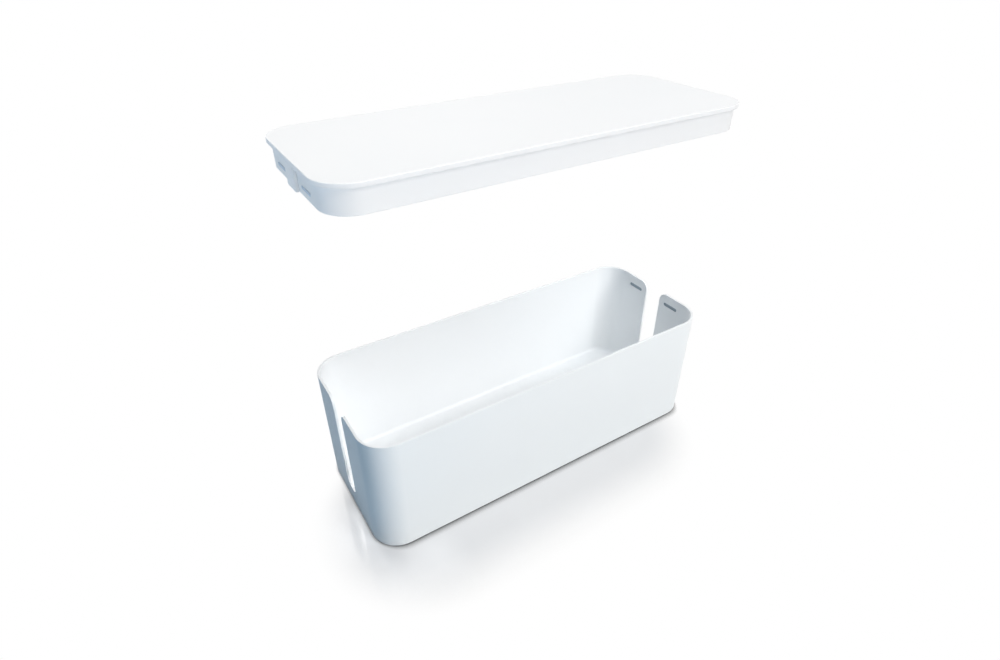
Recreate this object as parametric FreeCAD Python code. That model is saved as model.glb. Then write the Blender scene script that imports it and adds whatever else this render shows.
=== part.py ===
import FreeCAD, Part
import os

# Cable box: an open base, a lift-off lid shown raised above it, and four feet.
# Millimetres, +Z up, +X along the length. The origin is on the standing surface, under the middle of the box.

# Outline that the base and the lid share
box_length = 406.0
box_width = 154.0
corner_radius = 29.0

# Base
base_height = 133.5
wall = 2.6
base_floor = 3.0
floor_fillet = 4.0
bottom_edge_radius = 0.8
rim_chamfer_share = 0.24

# Cable slot in each end wall, open at the rim
slot_width = 22.5
slot_sill = 20.0
slot_lip_radius = 10.0

# Lid
lip_thickness = 4.0
lid_plate = 2.5
lid_edge_radius = 0.7
lip_under_chamfer = 0.4
skirt_depth = 20.0
skirt_wall = 2.2
skirt_gap = 0.8
skirt_fillet = 2.0
skirt_chamfer = 0.4
seat_gap = 0.3
lid_lift = 229.5

# Tongue of the lid that closes the top of each cable slot
tongue_side_gap = 1.0
tongue_setback = 0.7
tongue_edge_radius = 1.0

# Snap ridges on the lid and the grooves that face them in the base
ridge_length = 19.2
ridge_height = 2.8
ridge_drop = 12.8
ridge_gap = 0.3
ridge_chamfer_share = 0.7
groove_play = 0.5
groove_depth_share = 0.45
groove_land = 8.0

# Feet
foot_radius = 6.5
foot_stand = 1.0
foot_recess = 0.8
foot_play = 0.2
foot_chamfer = 0.4
foot_inset = 30.0

# How far every cutting body runs past what it cuts, and the closeness at which two places count as one
overrun = 5.0
same_place = 0.01

# Levels and distances that follow from the sizes above
half_length = box_length / 2
half_width = box_width / 2
rim_level = foot_stand + base_height
floor_level = foot_stand + base_floor
sill_level = foot_stand + slot_sill
rim_chamfer = wall * rim_chamfer_share
slot_radius = slot_width / 2
slot_reach = slot_radius + slot_lip_radius

lip_level = rim_level + seat_gap + lid_lift
lid_top = lip_level + lip_thickness
lid_ceiling = lid_top - lid_plate
skirt_bottom = lip_level - skirt_depth
skirt_inset = wall + skirt_gap
skirt_inner_inset = skirt_inset + skirt_wall

ridge_proud = skirt_gap - ridge_gap
groove_length = ridge_length + 2 * groove_play
groove_height = ridge_height + 2 * groove_play
snap_offset = slot_radius + groove_land + groove_length / 2
groove_level = rim_level + seat_gap - ridge_drop
ridge_level = lip_level - ridge_drop

ends = (-1, 1)
sides = (-1, 1)


def rounded_block(inset, bottom, top):
    """Upright block with the box's own outline, drawn in by one inset all round."""
    across = half_length - inset
    deep = half_width - inset
    radius = corner_radius - inset
    up = FreeCAD.Vector(0, 0, 1)
    corners = [(1, 1, 0), (-1, 1, 90), (-1, -1, 180), (1, -1, 270)]
    arcs = []
    for side_x, side_y, start in corners:
        centre = FreeCAD.Vector(side_x * (across - radius), side_y * (deep - radius), bottom)
        arcs.append(Part.makeCircle(radius, centre, up, start, start + 90))
    edges = []
    for arc, following in zip(arcs, arcs[1:] + arcs[:1]):
        edges.append(arc)
        edges.append(Part.makeLine(arc.lastVertex().Point, following.firstVertex().Point))
    return Part.Face(Part.Wire(edges)).extrude(up * (top - bottom))


def edges_at(shape, level):
    """Edges that lie flat at one level."""
    return [
        edge
        for edge in shape.Edges
        if edge.BoundBox.ZLength < same_place and abs(edge.BoundBox.ZMin - level) < same_place
    ]


def stadium(end, side, length, height, level, from_x, depth):
    """Bar with round ends, lying along Y, that runs outwards from one X by its depth."""
    radius = height / 2
    straight = length / 2 - radius
    middle = side * snap_offset
    left = middle - straight
    right = middle + straight
    start_x = end * from_x

    def at(y, z):
        return FreeCAD.Vector(start_x, y, level + z)

    edges = [
        Part.makeLine(at(left, radius), at(right, radius)),
        Part.Arc(at(right, radius), at(right + radius, 0), at(right, -radius)).toShape(),
        Part.makeLine(at(right, -radius), at(left, -radius)),
        Part.Arc(at(left, -radius), at(left - radius, 0), at(left, radius)).toShape(),
    ]
    return Part.Face(Part.Wire(edges)).extrude(FreeCAD.Vector(end * depth, 0, 0))


def slot_cutter():
    """One U with flared lips, long enough to cut both end walls at once."""
    start_x = -half_length - overrun
    flare_level = rim_level - slot_lip_radius
    round_level = sill_level + slot_radius
    diagonal = slot_lip_radius * (1 - 0.5 ** 0.5)

    def at(y, z):
        return FreeCAD.Vector(start_x, y, z)

    def lip(side, start, end):
        middle = at(side * (slot_radius + diagonal), rim_level - diagonal)
        return Part.Arc(start, middle, end).toShape()

    edges = [
        Part.makeLine(at(-slot_reach, rim_level + overrun), at(-slot_reach, rim_level)),
        lip(-1, at(-slot_reach, rim_level), at(-slot_radius, flare_level)),
        Part.makeLine(at(-slot_radius, flare_level), at(-slot_radius, round_level)),
        Part.Arc(at(-slot_radius, round_level), at(0, sill_level), at(slot_radius, round_level)).toShape(),
        Part.makeLine(at(slot_radius, round_level), at(slot_radius, flare_level)),
        lip(1, at(slot_radius, flare_level), at(slot_reach, rim_level)),
        Part.makeLine(at(slot_reach, rim_level), at(slot_reach, rim_level + overrun)),
        Part.makeLine(at(slot_reach, rim_level + overrun), at(-slot_reach, rim_level + overrun)),
    ]
    length = box_length + 2 * overrun
    return Part.Face(Part.Wire(edges)).extrude(FreeCAD.Vector(length, 0, 0))


def is_lip_face(face):
    """True for the rim's top and for the walls of a cable slot."""
    box = face.BoundBox
    on_rim = box.ZMin > rim_level - same_place
    in_slot = max(box.YMax, -box.YMin) < slot_reach + same_place and box.ZMin > floor_level + same_place
    return on_rim or in_slot


def rim_edges(shell):
    """The edges where the rim and the slots meet the inner and outer wall faces."""
    found = []
    for edge in shell.Edges:
        faces = shell.ancestorsOfType(edge, Part.Face)
        if len([face for face in faces if is_lip_face(face)]) == 1:
            found.append(edge)
    return found


def foot_places():
    """Name and middle of each foot."""
    places = {}
    for side_y, row in ((-1, "front"), (1, "rear")):
        for side_x, column in ((-1, "left"), (1, "right")):
            x = side_x * (half_length - foot_inset)
            y = side_y * (half_width - foot_inset)
            places["foot_" + row + "_" + column] = (x, y)
    return places


def make_base():
    """Open shell with a soft rim, a cable slot in each end, snap grooves and foot recesses."""
    outside = rounded_block(0, foot_stand, rim_level)
    outside = outside.makeFillet(bottom_edge_radius, edges_at(outside, foot_stand))
    inside = rounded_block(wall, floor_level, rim_level + overrun)
    inside = inside.makeFillet(floor_fillet, edges_at(inside, floor_level))
    shell = outside.cut(inside).cut(slot_cutter())
    shell = shell.makeChamfer(rim_chamfer, rim_edges(shell))

    groove_depth = wall * groove_depth_share
    inner_face = half_length - wall
    for end in ends:
        for side in sides:
            start_x = inner_face - overrun
            depth = overrun + groove_depth
            groove = stadium(end, side, groove_length, groove_height, groove_level, start_x, depth)
            shell = shell.cut(groove)

    for x, y in foot_places().values():
        start = FreeCAD.Vector(x, y, foot_stand - overrun)
        recess = Part.makeCylinder(foot_radius + foot_play, overrun + foot_recess, start)
        shell = shell.cut(recess)
    return shell


def upright_edges_at(shape, x):
    """Upright edges at one X."""
    found = []
    for edge in shape.Edges:
        box = edge.BoundBox
        upright = box.XLength < same_place and box.YLength < same_place
        if upright and abs(box.XMin - x) < same_place:
            found.append(edge)
    return found


def tongue_block(end, half, outer, bottom, top):
    """Block across one end of the lid, from the skirt's inner face out to one X."""
    inner = half_length - skirt_inner_inset
    low_x = min(end * inner, end * outer)
    corner = FreeCAD.Vector(low_x, -half, bottom)
    return Part.makeBox(outer - inner, 2 * half, top - bottom, corner)


def make_lid():
    """Plate with an overhanging lip, a hollow skirt with a tongue at each end, and snap ridges."""
    plate = rounded_block(0, lip_level, lid_top)
    plate = plate.makeFillet(lid_edge_radius, edges_at(plate, lid_top))
    plate = plate.makeChamfer(lip_under_chamfer, edges_at(plate, lip_level))
    skirt = rounded_block(skirt_inset, skirt_bottom, lid_ceiling)
    skirt = skirt.makeChamfer(skirt_chamfer, edges_at(skirt, skirt_bottom))
    lid = plate.fuse(skirt)

    tongue_half = slot_radius - tongue_side_gap
    tongue_outer = half_length - tongue_setback
    for end in ends:
        tongue = tongue_block(end, tongue_half, tongue_outer, skirt_bottom, lid_ceiling)
        tongue = tongue.makeFillet(tongue_edge_radius, upright_edges_at(tongue, end * tongue_outer))
        lid = lid.fuse(tongue)

    hollow = rounded_block(skirt_inner_inset, skirt_bottom - overrun, lid_ceiling)
    hollow = hollow.makeFillet(skirt_fillet, edges_at(hollow, lid_ceiling))
    lid = lid.cut(hollow)
    for end in ends:
        pocket_half = tongue_half - skirt_wall
        pocket_outer = tongue_outer - skirt_wall
        pocket = tongue_block(end, pocket_half, pocket_outer, skirt_bottom - overrun, lip_level)
        lid = lid.cut(pocket)

    skirt_face = half_length - skirt_inset
    ridge_root = skirt_wall / 2
    for end in ends:
        for side in sides:
            start_x = skirt_face - ridge_root
            depth = ridge_root + ridge_proud
            ridge = stadium(end, side, ridge_length, ridge_height, ridge_level, start_x, depth)
            crest = end * (skirt_face + ridge_proud)
            crest_edges = [
                edge
                for edge in ridge.Edges
                if edge.BoundBox.XLength < same_place and abs(edge.BoundBox.XMin - crest) < same_place
            ]
            ridge = ridge.makeChamfer(ridge_proud * ridge_chamfer_share, crest_edges)
            lid = lid.fuse(ridge)
    return lid.removeSplitter()


def make_foot(x, y):
    """Round pad, seated in its recess and standing proud of the base."""
    pad = Part.makeCylinder(foot_radius, foot_stand + foot_recess, FreeCAD.Vector(x, y, 0))
    return pad.makeChamfer(foot_chamfer, edges_at(pad, 0))


def write_parts():
    """One file per piece."""
    os.makedirs("parts", exist_ok=True)
    pieces = {"base": make_base(), "lid": make_lid()}
    for name, (x, y) in foot_places().items():
        pieces[name] = make_foot(x, y)
    for name, shape in pieces.items():
        shape.exportStep("parts/" + name + ".step")
        print(name, "solids", len(shape.Solids), "valid", shape.isValid(), "volume", round(shape.Volume))


write_parts()
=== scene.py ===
import math
import bpy
import bmesh
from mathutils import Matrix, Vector


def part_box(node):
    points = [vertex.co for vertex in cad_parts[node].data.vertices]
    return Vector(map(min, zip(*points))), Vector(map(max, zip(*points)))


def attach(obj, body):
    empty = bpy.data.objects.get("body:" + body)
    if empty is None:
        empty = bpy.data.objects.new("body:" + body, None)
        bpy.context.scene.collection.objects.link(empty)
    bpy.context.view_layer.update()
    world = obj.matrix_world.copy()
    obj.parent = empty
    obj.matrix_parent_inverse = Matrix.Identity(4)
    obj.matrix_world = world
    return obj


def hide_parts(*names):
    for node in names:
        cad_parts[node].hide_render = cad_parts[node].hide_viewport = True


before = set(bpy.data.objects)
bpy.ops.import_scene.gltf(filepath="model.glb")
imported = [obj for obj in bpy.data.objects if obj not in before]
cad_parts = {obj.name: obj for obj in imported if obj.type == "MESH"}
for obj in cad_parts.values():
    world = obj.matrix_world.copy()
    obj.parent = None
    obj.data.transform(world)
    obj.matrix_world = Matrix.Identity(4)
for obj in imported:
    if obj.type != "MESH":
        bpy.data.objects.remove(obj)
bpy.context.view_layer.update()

# A cable box in white moulded plastic: an open base on four rubber feet, and its lift-off lid held above it.
# Metres, the same frame as the CAD model.
mm = 0.001
nearly = 0.02 * mm        # closeness at which two places count as one
overrun = 5 * mm          # how far a cutter runs past what it cuts
smoothAngle = 32          # an edge that turns by more degrees stays sharp
print("stage: frame loaded,", len(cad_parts), "nodes")


# Selecting and editing, used by every piece

def selectOnly(pieces):
    # leaves edit mode first; the last piece named becomes the active one
    if bpy.context.mode != "OBJECT":
        bpy.ops.object.mode_set(mode="OBJECT")
    bpy.ops.object.select_all(action="DESELECT")
    for piece in pieces:
        piece.select_set(True)
        bpy.context.view_layer.objects.active = piece


def editPiece(piece, kind):
    # opens one piece in edit mode with nothing selected
    selectOnly([piece])
    bpy.ops.object.mode_set(mode="EDIT")
    bpy.ops.mesh.select_mode(type=kind)
    bpy.ops.mesh.select_all(action="DESELECT")


def pickFaces(piece, wanted):
    editPiece(piece, "FACE")
    mesh = bmesh.from_edit_mesh(piece.data)
    for face in mesh.faces:
        if wanted(face.calc_center_median(), face.normal):
            face.select_set(True)
    bmesh.update_edit_mesh(piece.data)


def pickEdges(piece, wanted):
    # wanted is asked with the edge's two ends and the normals and centres of the faces beside it
    editPiece(piece, "EDGE")
    mesh = bmesh.from_edit_mesh(piece.data)
    found = 0
    for edge in mesh.edges:
        ends = [vert.co for vert in edge.verts]
        beside = [(face.calc_center_median(), face.normal) for face in edge.link_faces]
        if wanted(ends, beside):
            edge.select_set(True)
            found += 1
    bmesh.update_edit_mesh(piece.data)
    return found


def roundEdges(radius, steps):
    bpy.ops.mesh.bevel(offset=radius, offset_type="OFFSET", segments=steps, profile=0.5, affect="EDGES")


def closeEdit(piece):
    # drops doubles and thin leftovers, then leaves edit mode with the normals outward
    editPiece(piece, "VERT")
    bpy.ops.mesh.select_all(action="SELECT")
    bpy.ops.mesh.remove_doubles(threshold=0.002 * mm)
    bpy.ops.mesh.normals_make_consistent(inside=False)
    bpy.ops.mesh.select_all(action="DESELECT")
    bpy.ops.object.mode_set(mode="OBJECT")


def addBlock(name, low, high):
    # a block between two corners; its origin stays at the frame's
    middle = [(a + b) / 2 for a, b in zip(low, high)]
    size = [b - a for a, b in zip(low, high)]
    selectOnly([])
    bpy.ops.mesh.primitive_cube_add(size=1, location=middle, scale=size)
    block = bpy.context.active_object
    block.name = name
    bpy.ops.object.transform_apply(location=True, rotation=True, scale=True)
    return block


def addDisc(name, place, radius, low, high, sides):
    selectOnly([])
    middle = (place[0], place[1], (low + high) / 2)
    bpy.ops.mesh.primitive_cylinder_add(vertices=sides, radius=radius, depth=high - low, location=middle)
    disc = bpy.context.active_object
    disc.name = name
    bpy.ops.object.transform_apply(location=True, rotation=True, scale=True)
    return disc


def joinPieces(pieces):
    selectOnly(pieces)
    bpy.ops.object.join()
    return pieces[-1]


def combine(piece, tool, operation):
    # cuts one closed shape from a piece, or welds it on
    selectOnly([piece])
    step = piece.modifiers.new(operation, "BOOLEAN")
    step.operation = operation
    step.solver = "EXACT"
    step.object = tool
    bpy.ops.object.modifier_apply(modifier=step.name)
    bpy.data.objects.remove(tool)


def smoothPiece(piece):
    closeEdit(piece)
    bpy.ops.object.shade_smooth_by_angle(angle=math.radians(smoothAngle))
    step = piece.modifiers.new("weighted", "WEIGHTED_NORMAL")
    step.keep_sharp = True
    step.weight = 100
    bpy.ops.object.modifier_apply(modifier=step.name)


def isUpright(ends):
    return (ends[0] - ends[1]).xy.length < nearly


def areAtLevel(ends, level):
    return all(abs(end.z - level) < nearly for end in ends)


def besideWall(beside):
    # true where one of the faces beside an edge stands upright
    return any(abs(normal.z) < 0.1 for centre, normal in beside)


# Base: an open shell with a soft rim, a cable slot in each end, snap grooves and recesses for the feet

baseShell = {
    "cornerRadius": 29 * mm, "cornerSteps": 28,
    "wall": 2.6 * mm, "floor": 3 * mm,
    "floorFillet": 4 * mm, "floorSteps": 8,
    "bottomEdge": 0.8 * mm, "bottomSteps": 5,
    "slotWidth": 22.5 * mm, "slotSill": 20 * mm, "slotLip": 10 * mm, "slotSteps": 16,
    "rimSoftness": 0.35 * mm, "rimSteps": 4,
    "grooveLength": 20.2 * mm, "grooveHeight": 3.8 * mm, "grooveDepth": 1.17 * mm,
    "grooveMiddle": 29.35 * mm, "grooveDrop": 12.5 * mm, "grooveEdge": 0.25 * mm,
    "grooveStart": 4 * mm, "grooveSteps": 10, "grooveEdgeSteps": 3,
    "recessRadius": 6.7 * mm, "recessDepth": 0.8 * mm, "recessSides": 64,
}


def addBar(name, insideX, outsideX, middleY, level, length, height, steps):
    # a bar with round ends that lies along Y
    low = (min(insideX, outsideX), middleY - length / 2, level - height / 2)
    high = (max(insideX, outsideX), middleY + length / 2, level + height / 2)
    bar = addBlock(name, low, high)
    pickEdges(bar, lambda ends, beside: abs(ends[0].x - ends[1].x) > nearly)
    roundEdges(height / 2, steps)
    closeEdit(bar)
    return bar


def addSlotCutter(low, high, size):
    # a plain U; its lips are flared once it has been cut
    half = size["slotWidth"] / 2
    sill = low.z + size["slotSill"]
    past = 2 * overrun
    cutter = addBlock("slotCutter", (low.x - past, -half, sill), (high.x + past, half, high.z + past))
    pickEdges(cutter, lambda ends, beside: areAtLevel(ends, sill) and abs(ends[0].x - ends[1].x) > past)
    roundEdges(half, size["slotSteps"])
    closeEdit(cutter)
    return cutter


def makeBase(size, feet):
    low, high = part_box("base")
    base = addBlock("boxBase", low, high)
    pickEdges(base, lambda ends, beside: isUpright(ends))
    roundEdges(size["cornerRadius"], size["cornerSteps"])
    pickFaces(base, lambda centre, normal: normal.z > 0.9)
    bpy.ops.mesh.inset(thickness=size["wall"], use_even_offset=True)
    floorLevel = low.z + size["floor"]
    bpy.ops.mesh.extrude_region_move(TRANSFORM_OT_translate={"value": (0, 0, floorLevel - high.z)})
    pickEdges(base, lambda ends, beside: areAtLevel(ends, floorLevel))
    roundEdges(size["floorFillet"], size["floorSteps"])
    pickEdges(base, lambda ends, beside: areAtLevel(ends, low.z))
    roundEdges(size["bottomEdge"], size["bottomSteps"])
    closeEdit(base)

    combine(base, addSlotCutter(low, high, size), "DIFFERENCE")
    halfSlot = size["slotWidth"] / 2
    mouths = pickEdges(base, lambda ends, beside: areAtLevel(ends, high.z)
                       and all(abs(abs(end.y) - halfSlot) < nearly for end in ends))
    roundEdges(size["slotLip"], size["slotSteps"])

    inSlot = halfSlot + size["slotLip"] + nearly
    deepest = floorLevel + size["floorFillet"] + mm

    def isLip(centre, normal):
        onRim = centre.z > high.z - nearly
        across = abs(normal.x) < 0.01 and abs(centre.y) < inSlot and abs(centre.x) > high.x - 2 * size["wall"]
        return onRim or (across and centre.z > deepest)

    rims = pickEdges(base, lambda ends, beside: len(beside) == 2
                     and isLip(*beside[0]) != isLip(*beside[1]))
    roundEdges(size["rimSoftness"], size["rimSteps"])
    closeEdit(base)

    innerX = high.x - size["wall"]
    level = high.z - size["grooveDrop"]
    grooves = [addBar("groove", end * (innerX - size["grooveStart"]), end * (innerX + size["grooveDepth"]),
                      side * size["grooveMiddle"], level, size["grooveLength"], size["grooveHeight"],
                      size["grooveSteps"])
               for end in (-1, 1) for side in (-1, 1)]
    combine(base, joinPieces(grooves), "DIFFERENCE")

    def isGrooveMouth(ends, beside):
        atWall = all(abs(abs(end.x) - innerX) < nearly for end in ends)
        near = all(abs(end.z - level) < size["grooveHeight"] / 2 + nearly for end in ends)
        turns = len(beside) == 2 and beside[0][1].dot(beside[1][1]) < 0.5
        return atWall and near and turns

    mouthEdges = pickEdges(base, isGrooveMouth)
    roundEdges(size["grooveEdge"], size["grooveEdgeSteps"])

    recesses = [addDisc("recess", place, size["recessRadius"], low.z - overrun, low.z + size["recessDepth"],
                        size["recessSides"]) for place in feet]
    combine(base, joinPieces(recesses), "DIFFERENCE")
    smoothPiece(base)
    print("stage: base,", mouths, "mouth edges,", rims, "rim edges,", mouthEdges, "groove edges,",
          len(base.data.polygons), "faces")
    return base


# Lid: a plate with an overhanging lip, a hollow skirt with a tongue at each end, and snap ridges

lidShell = {
    "cornerRadius": 29 * mm, "cornerSteps": 28,
    "lip": 4 * mm, "plate": 2.5 * mm,
    "topEdge": 0.7 * mm, "topSteps": 5, "underEdge": 0.5 * mm,
    "skirtInset": 3.4 * mm, "skirtDepth": 20 * mm, "skirtWall": 2.2 * mm,
    "skirtEdge": 0.5 * mm, "rootFillet": 0.6 * mm, "edgeSteps": 3,
    "ceilingFillet": 2 * mm, "ceilingSteps": 6,
    "tongueHalf": 10.25 * mm, "tongueSetback": 0.7 * mm, "tongueEdge": 1.2 * mm, "tongueSteps": 5,
    "pocketReach": 9 * mm,
    "ridgeLength": 19.2 * mm, "ridgeHeight": 2.8 * mm, "ridgeProud": 0.5 * mm,
    "ridgeMiddle": 29.35 * mm, "ridgeDrop": 12.8 * mm, "ridgeEdge": 0.4 * mm,
    "ridgeSteps": 10, "ridgeEdgeSteps": 5,
}


def addTongue(name, end, outerX, size, lipLevel, skirtBottom):
    # the block that drops into a cable slot; it starts inside the skirt's wall
    insideX = outerX + size["tongueSetback"] - size["skirtInset"] - 0.8 * size["skirtWall"]
    half = size["tongueHalf"]
    low = (min(end * insideX, end * outerX), -half, skirtBottom)
    high = (max(end * insideX, end * outerX), half, lipLevel + size["plate"] / 4)
    tongue = addBlock(name, low, high)
    pickEdges(tongue, lambda ends, beside: isUpright(ends) and abs(ends[0].x - end * outerX) < nearly)
    roundEdges(size["tongueEdge"], size["tongueSteps"])
    pickEdges(tongue, lambda ends, beside: areAtLevel(ends, skirtBottom)
              and not all(abs(point.x - end * insideX) < nearly for point in ends))
    roundEdges(size["skirtEdge"], size["edgeSteps"])
    closeEdit(tongue)
    return tongue


def addRidge(name, end, faceX, middleY, level, size):
    ridge = addBar(name, end * (faceX - mm), end * (faceX + size["ridgeProud"]), middleY, level,
                   size["ridgeLength"], size["ridgeHeight"], size["ridgeSteps"])
    crest = end * (faceX + size["ridgeProud"])
    pickEdges(ridge, lambda ends, beside: all(abs(point.x - crest) < nearly for point in ends))
    roundEdges(size["ridgeEdge"], size["ridgeEdgeSteps"])
    closeEdit(ridge)
    return ridge


def makeLid(size):
    low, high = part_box("lid")
    lipLevel = high.z - size["lip"]
    skirtBottom = lipLevel - size["skirtDepth"]
    ceiling = high.z - size["plate"]
    lid = addBlock("boxLid", (low.x, low.y, lipLevel), high)
    pickEdges(lid, lambda ends, beside: isUpright(ends))
    roundEdges(size["cornerRadius"], size["cornerSteps"])
    pickFaces(lid, lambda centre, normal: normal.z < -0.9)
    bpy.ops.mesh.inset(thickness=size["skirtInset"], use_even_offset=True)
    bpy.ops.mesh.extrude_region_move(TRANSFORM_OT_translate={"value": (0, 0, -size["skirtDepth"])})
    bpy.ops.mesh.inset(thickness=size["skirtWall"], use_even_offset=True)
    bpy.ops.mesh.extrude_region_move(TRANSFORM_OT_translate={"value": (0, 0, ceiling - skirtBottom)})

    pickEdges(lid, lambda ends, beside: areAtLevel(ends, ceiling))
    roundEdges(size["ceilingFillet"], size["ceilingSteps"])
    pickEdges(lid, lambda ends, beside: areAtLevel(ends, high.z))
    roundEdges(size["topEdge"], size["topSteps"])
    skirtX = high.x - size["skirtInset"] + nearly
    skirtY = high.y - size["skirtInset"] + nearly

    def isRoot(ends):
        return all(abs(point.x) < skirtX and abs(point.y) < skirtY for point in ends)

    pickEdges(lid, lambda ends, beside: areAtLevel(ends, lipLevel) and not isRoot(ends) and besideWall(beside))
    roundEdges(size["underEdge"], size["edgeSteps"])
    pickEdges(lid, lambda ends, beside: areAtLevel(ends, lipLevel) and isRoot(ends) and besideWall(beside))
    roundEdges(size["rootFillet"], size["edgeSteps"])
    pickEdges(lid, lambda ends, beside: areAtLevel(ends, skirtBottom) and besideWall(beside))
    roundEdges(size["skirtEdge"], size["edgeSteps"])
    closeEdit(lid)

    outerX = high.x - size["tongueSetback"]
    for end, name in ((-1, "tongueLeft"), (1, "tongueRight")):
        combine(lid, addTongue(name, end, outerX, size, lipLevel, skirtBottom), "UNION")
        pocketX = outerX - size["skirtWall"]
        pocketHalf = size["tongueHalf"] - size["skirtWall"]
        farX = pocketX - size["pocketReach"]
        pocket = addBlock("pocket", (min(end * farX, end * pocketX), -pocketHalf, skirtBottom - overrun),
                          (max(end * farX, end * pocketX), pocketHalf, lipLevel))
        combine(lid, pocket, "DIFFERENCE")

    faceX = high.x - size["skirtInset"]
    ridgeLevel = lipLevel - size["ridgeDrop"]
    ridges = [addRidge("ridge", end, faceX, side * size["ridgeMiddle"], ridgeLevel, size)
              for end in (-1, 1) for side in (-1, 1)]
    combine(lid, joinPieces(ridges), "UNION")
    smoothPiece(lid)
    print("stage: lid,", len(lid.data.polygons), "faces")
    return lid


# Feet: round rubber pads pressed into the recesses, one for each CAD node

footPad = {
    "radius": 6.5 * mm, "sides": 64, "edge": 0.4 * mm, "edgeSteps": 4, "dish": 0.25 * mm, "dishInset": 1.6 * mm,
    "nodes": {"footFrontLeft": "foot_front_left", "footFrontRight": "foot_front_right",
              "footRearLeft": "foot_rear_left", "footRearRight": "foot_rear_right"},
}


def footMiddle(node):
    low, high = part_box(node)
    return ((low.x + high.x) / 2, (low.y + high.y) / 2)


def makeFeet(size):
    # one pad is modelled, and the others are copies with meshes of their own
    names = list(size["nodes"])
    firstNode = size["nodes"][names[0]]
    low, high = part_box(firstNode)
    start = footMiddle(firstNode)
    pad = addDisc(names[0], start, size["radius"], low.z, high.z, size["sides"])
    pickFaces(pad, lambda centre, normal: normal.z < -0.9)
    bpy.ops.mesh.inset(thickness=size["dishInset"], use_even_offset=True)
    bpy.ops.mesh.inset(thickness=size["dishInset"] / 4, depth=-size["dish"], use_even_offset=True)
    pickEdges(pad, lambda ends, beside: areAtLevel(ends, low.z) and besideWall(beside))
    roundEdges(size["edge"], size["edgeSteps"])
    pickEdges(pad, lambda ends, beside: areAtLevel(ends, high.z))
    roundEdges(size["edge"] / 4, size["edgeSteps"] // 2)
    smoothPiece(pad)
    pads = {names[0]: pad}
    for name in names[1:]:
        copy = pad.copy()
        copy.data = pad.data.copy()
        copy.name = name
        bpy.context.scene.collection.objects.link(copy)
        place = footMiddle(size["nodes"][name])
        selectOnly([copy])
        copy.location = (place[0] - start[0], place[1] - start[1], 0)
        bpy.ops.object.transform_apply(location=True, rotation=True, scale=True)
        pads[name] = copy
    print("stage: feet,", len(pads))
    return pads


# Nodes: one call adds or feeds one, so that the groups and the finishes below stay short

def newGroup(name, inputs, outputs):
    group = bpy.data.node_groups.new(name, "ShaderNodeTree")
    for label, kind, value in inputs:
        group.interface.new_socket(name=label, in_out="INPUT", socket_type=kind).default_value = value
    for label, kind in outputs:
        group.interface.new_socket(name=label, in_out="OUTPUT", socket_type=kind)
    return group, group.nodes.new("NodeGroupInput"), group.nodes.new("NodeGroupOutput")


def addNode(tree, kind, settings=None, values=None):
    node = tree.nodes.new(kind)
    for name, value in (settings or {}).items():
        setattr(node, name, value)
    for name, value in (values or {}).items():
        node.inputs[name].default_value = value
    return node


def feed(tree, socket, value):
    # a socket takes another node's output or a plain value
    if isinstance(value, bpy.types.NodeSocket):
        tree.links.new(value, socket)
    else:
        socket.default_value = value


def compute(tree, operation, first, second=0):
    # one step of arithmetic
    step = addNode(tree, "ShaderNodeMath", {"operation": operation})
    feed(tree, step.inputs[0], first)
    feed(tree, step.inputs[1], second)
    return step.outputs[0]


def rise(tree, value, span, ends=(0, 1), kind="SMOOTHSTEP"):
    # from one number to another while the value crosses a span, and held outside it
    ramp = addNode(tree, "ShaderNodeMapRange", {"interpolation_type": kind})
    for name, number in zip(("Value", "From Min", "From Max", "To Min", "To Max"), (value, *span, *ends)):
        feed(tree, ramp.inputs[name], number)
    return ramp.outputs[0]


def blend(tree, share, first, second):
    # a mix of two colours
    mix = addNode(tree, "ShaderNodeMix", {"data_type": "RGBA"})
    feed(tree, mix.inputs[0], share)
    feed(tree, mix.inputs[6], first)
    feed(tree, mix.inputs[7], second)
    return mix.outputs[2]


def blendNumbers(tree, share, first, second):
    mix = addNode(tree, "ShaderNodeMix", {"data_type": "FLOAT"})
    feed(tree, mix.inputs[0], share)
    feed(tree, mix.inputs[2], first)
    feed(tree, mix.inputs[3], second)
    return mix.outputs[0]


def addNoise(tree, place, scale, detail, roughness):
    noise = addNode(tree, "ShaderNodeTexNoise", values={"Detail": detail, "Roughness": roughness})
    feed(tree, noise.inputs["Vector"], place)
    feed(tree, noise.inputs["Scale"], scale)
    return noise.outputs[0]


def splitPlace(tree, place):
    parts = addNode(tree, "ShaderNodeSeparateXYZ")
    feed(tree, parts.inputs[0], place)
    return parts.outputs


# Shader groups that the finishes share

def makeMouldGrain():
    # the fine grain of a mould's surface, and the slow waves that cooling leaves in a wall
    tree, start, end = newGroup("mouldGrain", [
        ("Vector", "NodeSocketVector", (0, 0, 0)),
        ("Grain Scale", "NodeSocketFloat", 1500),
        ("Grain", "NodeSocketFloat", 1),
        ("Wave Scale", "NodeSocketFloat", 16),
        ("Wave", "NodeSocketFloat", 4),
    ], [("Height", "NodeSocketFloat"), ("Speckle", "NodeSocketFloat")])
    given = start.outputs
    grain = addNoise(tree, given["Vector"], given["Grain Scale"], 2, 0.55)
    waves = addNoise(tree, given["Vector"], given["Wave Scale"], 1, 0.4)
    height = compute(tree, "ADD", compute(tree, "MULTIPLY", grain, given["Grain"]),
                     compute(tree, "MULTIPLY", waves, given["Wave"]))
    feed(tree, end.inputs["Height"], height)
    feed(tree, end.inputs["Speckle"], grain)
    return tree


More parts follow.
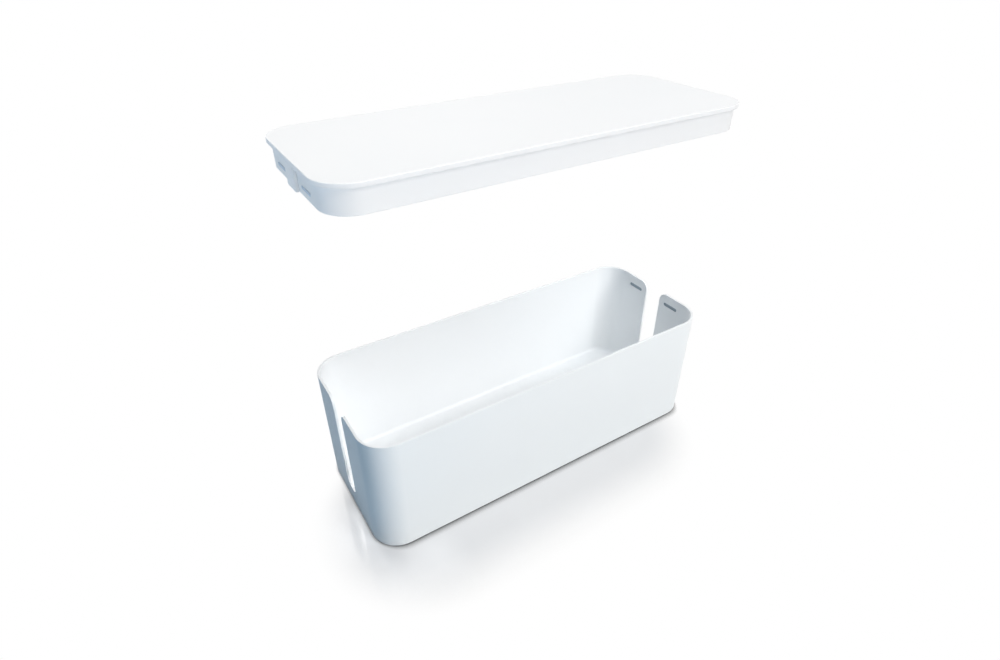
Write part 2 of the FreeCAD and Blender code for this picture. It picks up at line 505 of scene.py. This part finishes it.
def makeToneDrift():
    # slow drift between two near tones, with a little of the fine speckle
    tree, start, end = newGroup("toneDrift", [
        ("Vector", "NodeSocketVector", (0, 0, 0)),
        ("Light", "NodeSocketColor", (0.9, 0.9, 0.9, 1)),
        ("Deep", "NodeSocketColor", (0.8, 0.8, 0.8, 1)),
        ("Scale", "NodeSocketFloat", 9),
        ("Speckle", "NodeSocketFloat", 0.5),
        ("Speckle Share", "NodeSocketFloat", 0.2),
    ], [("Color", "NodeSocketColor"), ("Drift", "NodeSocketFloat")])
    given = start.outputs
    drift = rise(tree, addNoise(tree, given["Vector"], given["Scale"], 3, 0.5), (0.3, 0.7), kind="LINEAR")
    share = blendNumbers(tree, given["Speckle Share"], drift, given["Speckle"])
    feed(tree, end.inputs["Color"], blend(tree, share, given["Light"], given["Deep"]))
    feed(tree, end.inputs["Drift"], drift)
    return tree


def makeHandling():
    # a band at one height where hands or the table have rubbed the surface, broken up by noise
    tree, start, end = newGroup("handlingWear", [
        ("Vector", "NodeSocketVector", (0, 0, 0)),
        ("Level", "NodeSocketFloat", 0),
        ("Reach", "NodeSocketFloat", 0.004),
        ("Patch Scale", "NodeSocketFloat", 60),
    ], [("Wear", "NodeSocketFloat")])
    given = start.outputs
    height = splitPlace(tree, given["Vector"])["Z"]
    away = compute(tree, "ABSOLUTE", compute(tree, "SUBTRACT", height, given["Level"]))
    band = rise(tree, compute(tree, "DIVIDE", away, given["Reach"]), (0, 1), (1, 0))
    patches = addNoise(tree, given["Vector"], given["Patch Scale"], 4, 0.65)
    broken = rise(tree, patches, (0.45, 0.62), kind="LINEAR")
    feed(tree, end.inputs["Wear"], compute(tree, "MULTIPLY", band, broken))
    return tree


def makeSnapShadeMask():
    # the mask of the painted shade on the snap grooves and ridges: 1 inside a bar with round ends, one on each
    # side of both end walls, and 0 elsewhere; it counts only between two distances from the box's middle
    tree, start, end = newGroup("snapShadeMask", [
        ("Vector", "NodeSocketVector", (0, 0, 0)),
        ("Near", "NodeSocketFloat", 0.1), ("Far", "NodeSocketFloat", 0.2),
        ("Middle", "NodeSocketFloat", 0.03), ("Level", "NodeSocketFloat", 0.1),
        ("Half Straight", "NodeSocketFloat", 0.01), ("Half Height", "NodeSocketFloat", 0.002),
        ("Softness", "NodeSocketFloat", 0.0004),
    ], [("Mark", "NodeSocketFloat")])
    given = start.outputs
    parts = splitPlace(tree, given["Vector"])
    outward = compute(tree, "ABSOLUTE", parts["X"])
    aside = compute(tree, "SUBTRACT", compute(tree, "ABSOLUTE", parts["Y"]), given["Middle"])
    along = compute(tree, "SUBTRACT", compute(tree, "ABSOLUTE", aside), given["Half Straight"])
    along = compute(tree, "MAXIMUM", along, 0)
    above = compute(tree, "SUBTRACT", parts["Z"], given["Level"])
    reach = compute(tree, "ADD", compute(tree, "MULTIPLY", along, along),
                    compute(tree, "MULTIPLY", above, above))
    depth = compute(tree, "SUBTRACT", given["Half Height"], compute(tree, "SQRT", reach))
    mark = compute(tree, "ADD", compute(tree, "DIVIDE", depth, given["Softness"]), 0.5)
    mark = compute(tree, "MINIMUM", compute(tree, "MAXIMUM", mark, 0), 1)
    mark = compute(tree, "MULTIPLY", mark, compute(tree, "GREATER_THAN", outward, given["Near"]))
    mark = compute(tree, "MULTIPLY", mark, compute(tree, "LESS_THAN", outward, given["Far"]))
    feed(tree, end.inputs["Mark"], mark)
    return tree


mouldGrain = makeMouldGrain()
toneDrift = makeToneDrift()
handlingWear = makeHandling()
snapShadeMask = makeSnapShadeMask()


def newFinish(name):
    finish = bpy.data.materials.new(name)
    finish.use_nodes = True
    finish.node_tree.nodes.clear()
    output = finish.node_tree.nodes.new("ShaderNodeOutputMaterial")
    surface = finish.node_tree.nodes.new("ShaderNodeBsdfPrincipled")
    finish.node_tree.links.new(surface.outputs[0], output.inputs["Surface"])
    return finish, finish.node_tree, surface


def addGroup(tree, group, values):
    node = addNode(tree, "ShaderNodeGroup", {"node_tree": group})
    for name, value in values.items():
        feed(tree, node.inputs[name], value)
    return node.outputs


def addBump(tree, surface, height, distance):
    bump = addNode(tree, "ShaderNodeBump", values={"Strength": 1, "Distance": distance})
    feed(tree, bump.inputs["Height"], height)
    feed(tree, surface.inputs["Normal"], bump.outputs["Normal"])


# Satin white plastic, for the base and the lid; the grooves and the ridges get a painted shade, darker than the
# walls

satinPlastic = {
    "light": (0.9, 0.91, 0.915, 1), "deep": (0.88, 0.895, 0.905, 1), "driftScale": 7, "speckleShare": 0.25,
    "scuffed": (0.72, 0.735, 0.75, 1), "scuffShare": 0.35, "patchScale": 70,
    "roughLow": 0.42, "roughHigh": 0.5, "wornRough": 0.6,
    "grainScale": 1700, "grainHeight": 0.0035 * mm, "waveScale": 14, "wave": 2.5,
    "ior": 1.45, "shine": 0.35,
    # painted shade for the snap grooves and ridges
    "groovePaintedShade": (0.37, 0.43, 0.48, 1), "ridgePaintedShade": (0.5, 0.6, 0.71, 1),
    "baseWear": 5 * mm, "lidWear": 2.5 * mm,
}


def makePlastic(name, look, wearLevel, wearReach, snapShadePlace, snapPaintedShade):
    finish, tree, surface = newFinish(name)
    place = addNode(tree, "ShaderNodeTexCoord").outputs["Object"]
    grain = addGroup(tree, mouldGrain, {
        "Vector": place, "Grain Scale": look["grainScale"], "Grain": 1,
        "Wave Scale": look["waveScale"], "Wave": look["wave"]})
    tone = addGroup(tree, toneDrift, {
        "Vector": place, "Light": look["light"], "Deep": look["deep"], "Scale": look["driftScale"],
        "Speckle": grain["Speckle"], "Speckle Share": look["speckleShare"]})
    wear = addGroup(tree, handlingWear, {
        "Vector": place, "Level": wearLevel, "Reach": wearReach, "Patch Scale": look["patchScale"]})["Wear"]
    snap = addGroup(tree, snapShadeMask, {"Vector": place, **snapShadePlace})["Mark"]

    scuffShare = compute(tree, "MULTIPLY", wear, look["scuffShare"])
    scuffed = blend(tree, scuffShare, tone["Color"], look["scuffed"])
    # painted shade darkens the base colour in the snap grooves and on the ridges
    feed(tree, surface.inputs["Base Color"], blend(tree, snap, scuffed, snapPaintedShade))
    rough = rise(tree, tone["Drift"], (0, 1), (look["roughLow"], look["roughHigh"]), "LINEAR")
    feed(tree, surface.inputs["Roughness"], blendNumbers(tree, wear, rough, look["wornRough"]))
    addBump(tree, surface, grain["Height"], look["grainHeight"])
    feed(tree, surface.inputs["IOR"], look["ior"])
    feed(tree, surface.inputs["Specular IOR Level"], look["shine"])
    return finish


# Dark grey rubber, for the feet

footRubber = {
    "light": (0.075, 0.078, 0.082, 1), "deep": (0.045, 0.047, 0.05, 1), "driftScale": 90, "speckleShare": 0.4,
    "dusty": (0.2, 0.2, 0.2, 1), "dustReach": 0.8 * mm, "patchScale": 500,
    "roughLow": 0.62, "roughHigh": 0.8, "grainScale": 2600, "grainHeight": 0.02 * mm,
}


def makeRubber(look):
    finish, tree, surface = newFinish("footRubber")
    place = addNode(tree, "ShaderNodeTexCoord").outputs["Object"]
    grain = addGroup(tree, mouldGrain, {
        "Vector": place, "Grain Scale": look["grainScale"], "Grain": 1, "Wave": 0})
    tone = addGroup(tree, toneDrift, {
        "Vector": place, "Light": look["light"], "Deep": look["deep"], "Scale": look["driftScale"],
        "Speckle": grain["Speckle"], "Speckle Share": look["speckleShare"]})
    dust = addGroup(tree, handlingWear, {
        "Vector": place, "Level": 0, "Reach": look["dustReach"], "Patch Scale": look["patchScale"]})["Wear"]
    feed(tree, surface.inputs["Base Color"], blend(tree, dust, tone["Color"], look["dusty"]))
    rough = rise(tree, tone["Drift"], (0, 1), (look["roughLow"], look["roughHigh"]), "LINEAR")
    feed(tree, surface.inputs["Roughness"], rough)
    addBump(tree, surface, grain["Height"], look["grainHeight"])
    return finish


def dress(piece, finish, body, node):
    piece.data.materials.clear()
    piece.data.materials.append(finish)
    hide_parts(node)
    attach(piece, body)


base = makeBase(baseShell, [footMiddle(node) for node in footPad["nodes"].values()])
lid = makeLid(lidShell)
feet = makeFeet(footPad)

baseLow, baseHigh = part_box("base")
lidLow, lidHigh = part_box("lid")
lipLevel = lidHigh.z - lidShell["lip"]
innerFace = baseHigh.x - baseShell["wall"]
# where the painted shade lies in the grooves and on the ridges
grooveShadePlace = {
    "Near": innerFace + 0.1 * mm, "Far": innerFace + baseShell["grooveDepth"] + 0.3 * mm,
    "Middle": baseShell["grooveMiddle"], "Level": baseHigh.z - baseShell["grooveDrop"],
    "Half Straight": (baseShell["grooveLength"] - baseShell["grooveHeight"]) / 2,
    "Half Height": baseShell["grooveHeight"] / 2 + 0.2 * mm, "Softness": 0.2 * mm,
}
skirtFace = lidHigh.x - lidShell["skirtInset"]
ridgeShadePlace = {
    "Near": skirtFace - 0.1 * mm, "Far": skirtFace + lidShell["ridgeProud"] + 0.1 * mm,
    "Middle": lidShell["ridgeMiddle"], "Level": lipLevel - lidShell["ridgeDrop"],
    "Half Straight": (lidShell["ridgeLength"] - lidShell["ridgeHeight"]) / 2,
    "Half Height": lidShell["ridgeHeight"] / 2, "Softness": 0.5 * mm,
}
basePlastic = makePlastic("basePlastic", satinPlastic, baseLow.z, satinPlastic["baseWear"],
                          grooveShadePlace, satinPlastic["groovePaintedShade"])
lidPlastic = makePlastic("lidPlastic", satinPlastic, lipLevel, satinPlastic["lidWear"],
                         ridgeShadePlace, satinPlastic["ridgePaintedShade"])
dress(base, basePlastic, "base", "base")
dress(lid, lidPlastic, "lid", "lid")
rubber = makeRubber(footRubber)
for name, pad in feet.items():
    dress(pad, rubber, "base", footPad["nodes"][name])
print("stage: finishes")


# Floor: a pale glossy table top that keeps the box's shadow and a faint reflection, and runs out to white; near
# the box it has a painted contact shadow, a painted shade and painted light that lifts the shadow

floorLook = {
    "radius": 9,
    # the seen tone is darker near the box, a painted shade
    "seenNearPaintedShade": (0.58, 0.585, 0.595, 1), "seenFar": (0.68, 0.68, 0.68, 1), "seenReach": 0.09,
    "bounce": (0.44, 0.48, 0.49, 1), "bounceLeft": (0.3, 0.51, 0.67, 1), "leftSpan": (-0.2, -0.26),
    # painted contact shadow: how dark and how wide
    "contact": 0.1, "contactReach": 8 * mm, "contactSpan": (0.35, 0.97),
    "contactEnds": 0.4, "contactEndReach": 3 * mm, "leftEnd": 30 * mm, "rightEnd": 20 * mm,
    "gloss": 0.13, "glossRough": 0.1, "glossReach": 0.12,
    # painted light that lifts the floor's shadow
    "lift": 0.12, "liftLeft": 0.2, "liftEnd": 0.28, "liftCorner": 0.11,
    "liftSpan": (15 * mm, -10 * mm), "endSpan": (5 * mm, -3 * mm), "endReach": (5 * mm, 18 * mm),
    "endFront": (10 * mm, -20 * mm), "endFade": (-25 * mm, -65 * mm), "endFaded": 0.2,
    "cornerMiddle": (-0.176, -0.11), "cornerHalf": (0.014, 0.004), "cornerReach": 0.04,
    "fadeSpan": (0.057, 0.1205), "fadeMiddle": (-0.0318, -0.0496), "fadeHalf": (0.1105, 0),
}


def seenShare(tree, rays):
    # 1 for what the camera, a reflection or clear glass sees
    seen = compute(tree, "MAXIMUM", rays["Is Camera Ray"], rays["Is Glossy Ray"])
    return compute(tree, "MAXIMUM", seen, rays["Is Transmission Ray"])


def distanceFrom(tree, place, middle, half):
    # how far a point lies outside a rectangle on the floor
    asides = []
    for axis in (0, 1):
        aside = compute(tree, "ABSOLUTE", compute(tree, "SUBTRACT", place[axis], middle[axis]))
        aside = compute(tree, "MAXIMUM", compute(tree, "SUBTRACT", aside, half[axis]), 0)
        asides.append(compute(tree, "MULTIPLY", aside, aside))
    return compute(tree, "SQRT", compute(tree, "ADD", *asides))


def paintedContactShadow(tree, look, place, low, high):
    # painted contact shadow: a thin dark line where the box meets the floor, narrower and paler beside its ends
    beside = compute(tree, "MAXIMUM", rise(tree, place["X"], (low.x + look["leftEnd"], low.x)),
                     rise(tree, place["X"], (high.x - look["rightEnd"], high.x)))
    narrower = compute(tree, "MULTIPLY", beside, look["contactEndReach"] - look["contactReach"])
    paler = compute(tree, "MULTIPLY", beside, look["contactEnds"] - look["contact"])
    hollow = addNode(tree, "ShaderNodeAmbientOcclusion", {"samples": 8})
    feed(tree, hollow.inputs["Distance"], compute(tree, "ADD", narrower, look["contactReach"]))
    darkest = compute(tree, "ADD", paler, look["contact"])
    return rise(tree, hollow.outputs["AO"], look["contactSpan"], (darkest, 1), "LINEAR")


def paintedShadowLift(tree, look, place, away, low):
    # painted light: a glow lifts the seen floor a little, and more in the box's shadow by its left end and its
    # near corner
    aroundEnd = [low.x + distance for distance in look["liftSpan"]]
    lift = rise(tree, place["X"], aroundEnd, (look["lift"], look["liftLeft"]))
    pastEnd = [low.x + distance for distance in look["endSpan"]]
    byEnd = compute(tree, "MULTIPLY", rise(tree, away, look["endReach"], (look["liftEnd"], 0)),
                    rise(tree, place["X"], pastEnd))
    byEnd = compute(tree, "MULTIPLY", byEnd, rise(tree, place["Y"], look["endFront"]))
    byEnd = compute(tree, "MULTIPLY", byEnd, rise(tree, place["Y"], look["endFade"], (1, look["endFaded"])))
    fromCorner = distanceFrom(tree, place, look["cornerMiddle"], look["cornerHalf"])
    byCorner = rise(tree, fromCorner, (0, look["cornerReach"]), (look["liftCorner"], 0))
    return compute(tree, "ADD", lift, compute(tree, "ADD", byEnd, byCorner))


def makeFloor(look, low, high):
    selectOnly([])
    bpy.ops.mesh.primitive_circle_add(vertices=96, radius=look["radius"], fill_type="NGON", location=(0, 0, 0))
    floor = bpy.context.active_object
    floor.name = "studioFloor"
    finish = bpy.data.materials.new("floorWhite")
    finish.use_nodes = True
    tree = finish.node_tree
    tree.nodes.clear()
    output = addNode(tree, "ShaderNodeOutputMaterial")
    place = splitPlace(tree, addNode(tree, "ShaderNodeTexCoord").outputs["Object"])
    rays = addNode(tree, "ShaderNodeLightPath").outputs
    seen = seenShare(tree, rays)
    away = distanceFrom(tree, place, (0, 0), (high.x, high.y))
    # the painted contact shadow darkens the seen tone and the white near the box
    contact = paintedContactShadow(tree, look, place, low, high)

    # one tone is seen, darker near the box as a painted shade, and another lights the box; it is cooler beside
    # the left end
    seenTone = blend(tree, rise(tree, away, (0, look["seenReach"])), look["seenNearPaintedShade"], look["seenFar"])
    shaded = addNode(tree, "ShaderNodeVectorMath", {"operation": "SCALE"})
    feed(tree, shaded.inputs[0], seenTone)
    feed(tree, shaded.inputs["Scale"], contact)
    bounced = blend(tree, rise(tree, place["X"], look["leftSpan"]), look["bounce"], look["bounceLeft"])
    matt = addNode(tree, "ShaderNodeBsdfDiffuse")
    feed(tree, matt.inputs["Color"], blend(tree, seen, bounced, shaded.outputs[0]))
    gloss = addNode(tree, "ShaderNodeBsdfAnisotropic", values={"Roughness": look["glossRough"]})
    glossShare = rise(tree, away, (0, look["glossReach"]), (look["gloss"], 0))
    surface = addNode(tree, "ShaderNodeMixShader")
    feed(tree, surface.inputs[0], compute(tree, "MULTIPLY", glossShare, rays["Is Camera Ray"]))
    feed(tree, surface.inputs[1], matt.outputs[0])
    feed(tree, surface.inputs[2], gloss.outputs[0])

    # painted light: a glow lifts the floor where the box's shadow falls
    lift = compute(tree, "MULTIPLY", seen, paintedShadowLift(tree, look, place, away, low))
    glow = addNode(tree, "ShaderNodeEmission")
    feed(tree, glow.inputs["Strength"], compute(tree, "MULTIPLY", lift, contact))
    near = addNode(tree, "ShaderNodeAddShader")
    feed(tree, near.inputs[0], surface.outputs[0])
    feed(tree, near.inputs[1], glow.outputs[0])
    white = addNode(tree, "ShaderNodeEmission")
    feed(tree, white.inputs["Strength"], contact)
    fade = rise(tree, distanceFrom(tree, place, look["fadeMiddle"], look["fadeHalf"]), look["fadeSpan"])
    mixed = addNode(tree, "ShaderNodeMixShader")
    feed(tree, mixed.inputs[0], compute(tree, "MULTIPLY", fade, seen))
    feed(tree, mixed.inputs[1], near.outputs[0])
    feed(tree, mixed.inputs[2], white.outputs[0])
    feed(tree, output.inputs["Surface"], mixed.outputs[0])
    floor.data.materials.append(finish)
    return floor


# Light: every lamp lights only the pieces that its reach names. Soft ones stand in front, above and behind for
# the base and again for the lid, one lights the rear walls, two small ones light the left cable slot and the
# inside, and cool ones stand on the left

studio = {
    "lamps": {
        "keyLamp": {"place": (0.7, -2.0, 1.75), "aim": (0, 0, 0.15), "size": (1.7, 1.0), "power": 15.2,
                    "reach": "base"},
        "highLamp": {"place": (0.5, -1.8, 2.0), "aim": (0, 0, 0.15), "size": (1.4, 1.0), "power": 58.7,
                     "reach": "base"},
        "backLamp": {"place": (0.2, 1.7, 1.6), "aim": (0, 0, 0.2), "size": (1.8, 1.0), "power": 9,
                     "reach": "base"},
        "rearLamp": {"place": (0.3, 1.6, 0.16), "aim": (0.05, 0, 0.16), "size": (1.0, 0.3), "power": 13,
                     "reach": "rear"},
        "slotLamp": {"place": (-0.165, -0.015, 0.16), "aim": (-0.2, 0.01, 0), "size": (0.03, 0.03),
                     "power": 0.005, "spread": 30, "reach": "inside"},
        "insideLamp": {"place": (-0.02, -0.02, 0.31), "aim": (0.2, 0.05, 0.07), "size": (0.12, 0.08),
                       "power": 0.019, "color": (0.82, 0.93, 1), "spread": 60, "reach": "inside"},
        "leftLamp": {"place": (-1.3, -0.1, 0.3), "aim": (0, 0, 0.2), "size": (1.0, 0.6), "power": 1.1,
                     "color": (0.1, 0.5, 1), "reach": "base"},
        "lidFront": {"place": (-0.08, -1.6, 0.45), "aim": (0, 0, 0.3), "size": (1.2, 0.5), "power": 13.6,
                     "color": (1, 0.94, 0.92), "reach": "lid"},
        "lidHigh": {"place": (0.5, -1.8, 2.0), "aim": (0, 0, 0.15), "size": (1.4, 1.0), "power": 20,
                    "reach": "lid"},
        "lidTop": {"place": (0.1, 0.0, 2.4), "aim": (0, 0, 0.2), "size": (1.8, 1.8), "power": 33.5,
                   "reach": "lid"},
        "lidBack": {"place": (0.2, 1.7, 1.6), "aim": (0, 0, 0.2), "size": (1.8, 1.0), "power": 5.4,
                    "reach": "lid"},
        "lidLeft": {"place": (-1.4, 0.4, 0.35), "aim": (0, 0, 0.3), "size": (1.0, 0.6), "power": 6.8,
                    "color": (0.77, 0.87, 1), "reach": "lid"},
    },
    "roomLeft": (0.03, 0.03, 0.03, 1), "roomRight": (0.06, 0.06, 0.06, 1), "turnSpan": (-0.35, 0.15),
}


def addLamp(name, look, receivers):
    light = bpy.data.lights.new(name, "AREA")
    light.shape = "RECTANGLE"
    light.size, light.size_y = look["size"]
    light.energy = look["power"]
    light.color = look.get("color", (1, 1, 1))
    light.spread = math.radians(look.get("spread", 180))
    lamp = bpy.data.objects.new(name, light)
    lamp.location = look["place"]
    toward = Vector(look["aim"]) - Vector(look["place"])
    lamp.rotation_euler = toward.to_track_quat("-Z", "Y").to_euler()
    lamp.visible_camera = False        # never in the picture, from any side
    bpy.context.scene.collection.objects.link(lamp)
    reach = bpy.data.collections.new(name + "Reach")        # the pieces that this lamp lights
    for piece in receivers:
        reach.objects.link(piece)
    lamp.light_linking.receiver_collection = reach


def makeRoom(look):
    world = bpy.data.worlds.new("studioRoom")
    world.use_nodes = True
    tree = world.node_tree
    tree.nodes.clear()
    output = addNode(tree, "ShaderNodeOutputWorld")
    place = splitPlace(tree, addNode(tree, "ShaderNodeTexCoord").outputs["Generated"])
    side = rise(tree, place["X"], look["turnSpan"])
    room = addNode(tree, "ShaderNodeBackground")
    feed(tree, room.inputs["Color"], blend(tree, side, look["roomLeft"], look["roomRight"]))
    white = addNode(tree, "ShaderNodeBackground", values={"Color": (1, 1, 1, 1), "Strength": 1})
    mixed = addNode(tree, "ShaderNodeMixShader")
    feed(tree, mixed.inputs[0], seenShare(tree, addNode(tree, "ShaderNodeLightPath").outputs))
    feed(tree, mixed.inputs[1], room.outputs[0])
    feed(tree, mixed.inputs[2], white.outputs[0])
    feed(tree, output.inputs["Surface"], mixed.outputs[0])
    bpy.context.scene.world = world


floor = makeFloor(floorLook, baseLow, baseHigh)
litPieces = {"base": [base, floor] + list(feet.values()), "lid": [lid],
             "inside": [base], "rear": [base, lid]}
for name, look in studio["lamps"].items():
    addLamp(name, look, litPieces[look["reach"]])
makeRoom(studio)
print("stage: floor and light")


# Camera: where the photograph was taken from, for a frame of 1000 x 660 pixels

cameraLook = {
    "place": (-0.29909, -0.43567, 0.50572), "down": 34.31, "turn": 32.4,
    "focalPixels": 600.1, "framePixels": 1000,
}


def makeCamera(look):
    data = bpy.data.cameras.new("photoCamera")
    width = look["framePixels"]
    data.sensor_width = 36
    data.lens = look["focalPixels"] / width * data.sensor_width
    data.clip_start = 0.01
    data.clip_end = 50
    camera = bpy.data.objects.new("photoCamera", data)
    camera.location = look["place"]
    camera.rotation_euler = (math.radians(90 - look["down"]), 0, math.radians(-look["turn"]))
    bpy.context.scene.collection.objects.link(camera)
    bpy.context.scene.camera = camera


makeCamera(cameraLook)
bpy.context.scene.view_settings.view_transform = "Standard"
print("stage: camera")
